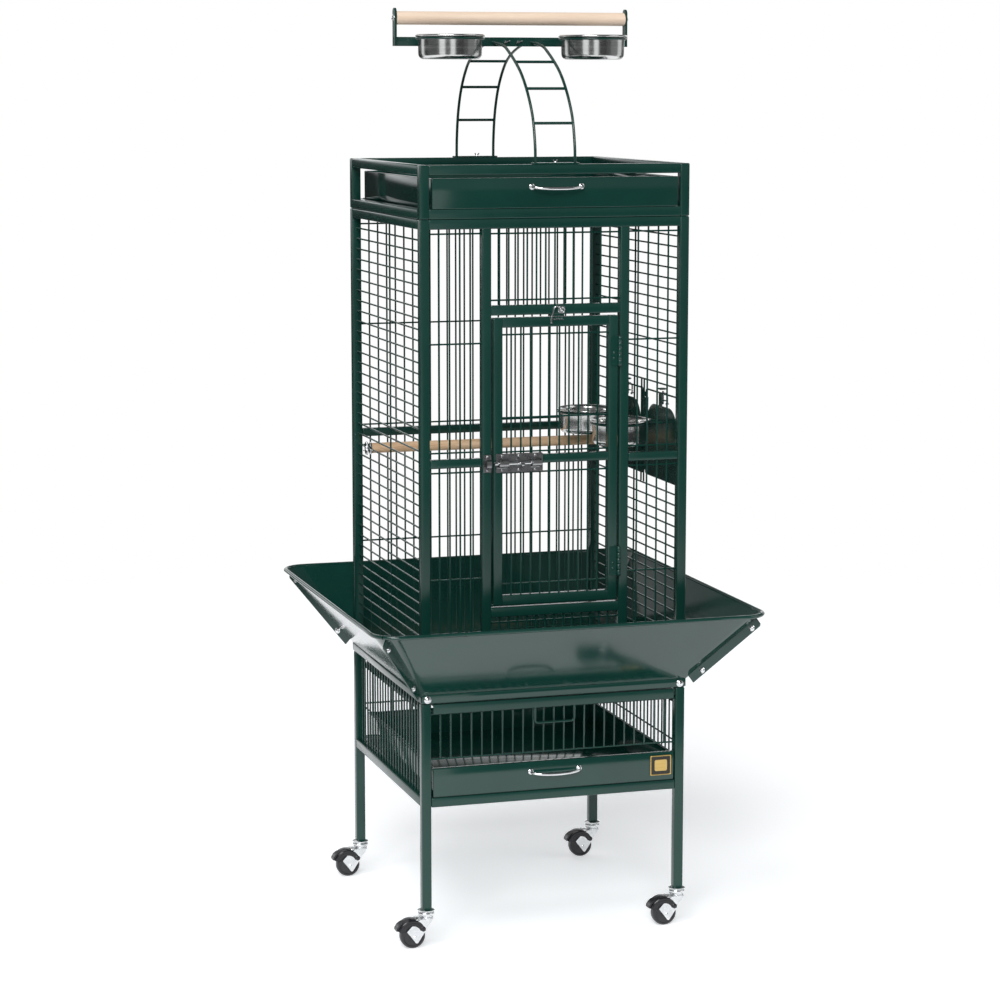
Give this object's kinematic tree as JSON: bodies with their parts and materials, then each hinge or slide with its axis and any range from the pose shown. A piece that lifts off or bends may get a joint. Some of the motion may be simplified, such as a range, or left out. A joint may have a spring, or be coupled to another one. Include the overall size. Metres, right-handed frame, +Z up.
{
  "type": "bird cage on stand",
  "caption": "Square wire bird cage with flared seed guards on a caster stand, slide-out trays, swing door, feeder doors and an arched play perch on top.",
  "frame": {"origin": "on the floor under the middle of the cage body", "axes": "+Z up, +X to the right seen from the door, +Y to the back"},
  "size_m": [0.672, 0.7, 1.534],
  "materials": {
    "green_paint": "glossy powder coat",
    "stainless_steel": "polished",
    "chrome": "polished",
    "pale_wood": "sanded",
    "tan_wood": "sanded",
    "brass": "brushed",
    "black_plastic": "satin"
  },
  "bodies": {
    "cage": {"stand_left_frame": "green_paint", "stand_right_frame": "green_paint", "stand_front_rail": "green_paint", "stand_back_rail": "green_paint", "stand_wires_front": "green_paint", "stand_wires_back": "green_paint", "stand_wires_left": "green_paint", "stand_wires_right": "green_paint", "seed_guard_front": "green_paint", "seed_guard_back": "green_paint", "seed_guard_left": "green_paint", "seed_guard_right": "green_paint", "front_frame": "green_paint", "back_frame": "green_paint", "front_left_wires": "green_paint", "front_right_wires": "green_paint", "front_top_wires": "green_paint", "front_lower_wires": "green_paint", "back_wires": "green_paint", "left_side_wires": "green_paint", "right_side_wires": "green_paint", "roof_grille": "green_paint", "play_frame": "green_paint", "ladder_front": "green_paint", "ladder_back": "green_paint", "perch_bracket": "green_paint", "door_latch_keeper": "chrome", "inner_perch": "tan_wood", "play_perch": "pale_wood"},
    "door": {"door_frame": "green_paint", "door_upper_wires": "green_paint", "door_lower_wires": "green_paint", "door_hinge_upper": "green_paint", "door_hinge_lower": "green_paint", "door_latch_guide": "chrome"},
    "door_bolt": {"door_latch_bolt": "chrome"},
    "debris_tray": {"debris_tray": "green_paint", "debris_tray_handle": "chrome", "nameplate": "brass"},
    "floor_grille": {"floor_grille": "green_paint"},
    "play_tray": {"play_tray": "green_paint", "play_tray_handle": "chrome"},
    "feeder_door_front": {"feeder_door_front": "green_paint"},
    "feeder_bolt_front": {"feeder_bolt_front": "chrome"},
    "feeder_cup_front": {"feeder_cup_front": "stainless_steel"},
    "feeder_door_rear": {"feeder_door_rear": "green_paint"},
    "feeder_bolt_rear": {"feeder_bolt_rear": "chrome"},
    "feeder_cup_rear": {"feeder_cup_rear": "stainless_steel"},
    "play_cup_left": {"play_cup_left": "stainless_steel"},
    "play_cup_right": {"play_cup_right": "stainless_steel"},
    "caster_front_left": {"caster_fork_front_left": "black_plastic"},
    "wheel_front_left": {"caster_wheel_front_left": "black_plastic"},
    "caster_front_right": {"caster_fork_front_right": "black_plastic"},
    "wheel_front_right": {"caster_wheel_front_right": "black_plastic"},
    "caster_back_left": {"caster_fork_back_left": "black_plastic"},
    "wheel_back_left": {"caster_wheel_back_left": "black_plastic"},
    "caster_back_right": {"caster_fork_back_right": "black_plastic"},
    "wheel_back_right": {"caster_wheel_back_right": "black_plastic"}
  },
  "joints": [
    {"name": "door_swing", "type": "hinge", "parent": "cage", "child": "door", "pos_m": [0.108, -0.2325, 0.8], "axis": [0, 0, 1], "range_deg": [0, 110]},
    {"name": "door_bolt_slide", "type": "slide", "parent": "door", "child": "door_bolt", "axis": [-1, 0, 0], "range_m": [0, 0.012]},
    {"name": "debris_tray_pull", "type": "slide", "parent": "cage", "child": "debris_tray", "axis": [0, -1, 0], "range_m": [0, 0.4]},
    {"name": "floor_grille_pull", "type": "slide", "parent": "cage", "child": "floor_grille", "axis": [0, -1, 0], "range_m": [0, 0.4]},
    {"name": "play_tray_pull", "type": "slide", "parent": "cage", "child": "play_tray", "axis": [0, -1, 0], "range_m": [0, 0.38]},
    {"name": "feeder_front_swing", "type": "hinge", "parent": "cage", "child": "feeder_door_front", "pos_m": [0.22665, -0.0394, 0.82], "axis": [0, 0, 1], "range_deg": [0, 95]},
    {"name": "feeder_bolt_front_slide", "type": "slide", "parent": "feeder_door_front", "child": "feeder_bolt_front", "axis": [0, 0, 1], "range_m": [0, 0.005]},
    {"name": "feeder_cup_front_lift", "type": "slide", "parent": "feeder_door_front", "child": "feeder_cup_front", "axis": [0, 0, 1], "range_m": [0, 0.08]},
    {"name": "feeder_rear_swing", "type": "hinge", "parent": "cage", "child": "feeder_door_rear", "pos_m": [0.22665, 0.1356, 0.82], "axis": [0, 0, 1], "range_deg": [0, 95]},
    {"name": "feeder_bolt_rear_slide", "type": "slide", "parent": "feeder_door_rear", "child": "feeder_bolt_rear", "axis": [0, 0, 1], "range_m": [0, 0.005]},
    {"name": "feeder_cup_rear_lift", "type": "slide", "parent": "feeder_door_rear", "child": "feeder_cup_rear", "axis": [0, 0, 1], "range_m": [0, 0.08]},
    {"name": "play_cup_left_lift", "type": "slide", "parent": "cage", "child": "play_cup_left", "axis": [0, 0, 1], "range_m": [0, 0.014]},
    {"name": "play_cup_right_lift", "type": "slide", "parent": "cage", "child": "play_cup_right", "axis": [0, 0, 1], "range_m": [0, 0.014]},
    {"name": "swivel_front_left", "type": "hinge", "parent": "cage", "child": "caster_front_left", "pos_m": [-0.2205, -0.2205, 0.055], "axis": [0, 0, 1], "continuous": true},
    {"name": "roll_front_left", "type": "hinge", "parent": "caster_front_left", "child": "wheel_front_left", "pos_m": [-0.2445, -0.2205, 0.021], "axis": [0, 1, 0], "continuous": true},
    {"name": "swivel_front_right", "type": "hinge", "parent": "cage", "child": "caster_front_right", "pos_m": [0.2205, -0.2205, 0.055], "axis": [0, 0, 1], "continuous": true},
    {"name": "roll_front_right", "type": "hinge", "parent": "caster_front_right", "child": "wheel_front_right", "pos_m": [0.1965, -0.2205, 0.021], "axis": [0, 1, 0], "continuous": true},
    {"name": "swivel_back_left", "type": "hinge", "parent": "cage", "child": "caster_back_left", "pos_m": [-0.2205, 0.2205, 0.055], "axis": [0, 0, 1], "continuous": true},
    {"name": "roll_back_left", "type": "hinge", "parent": "caster_back_left", "child": "wheel_back_left", "pos_m": [-0.2445, 0.2205, 0.021], "axis": [0, 1, 0], "continuous": true},
    {"name": "swivel_back_right", "type": "hinge", "parent": "cage", "child": "caster_back_right", "pos_m": [0.2205, 0.2205, 0.055], "axis": [0, 0, 1], "continuous": true},
    {"name": "roll_back_right", "type": "hinge", "parent": "caster_back_right", "child": "wheel_back_right", "pos_m": [0.1965, 0.2205, 0.021], "axis": [0, 1, 0], "continuous": true}
  ]
}
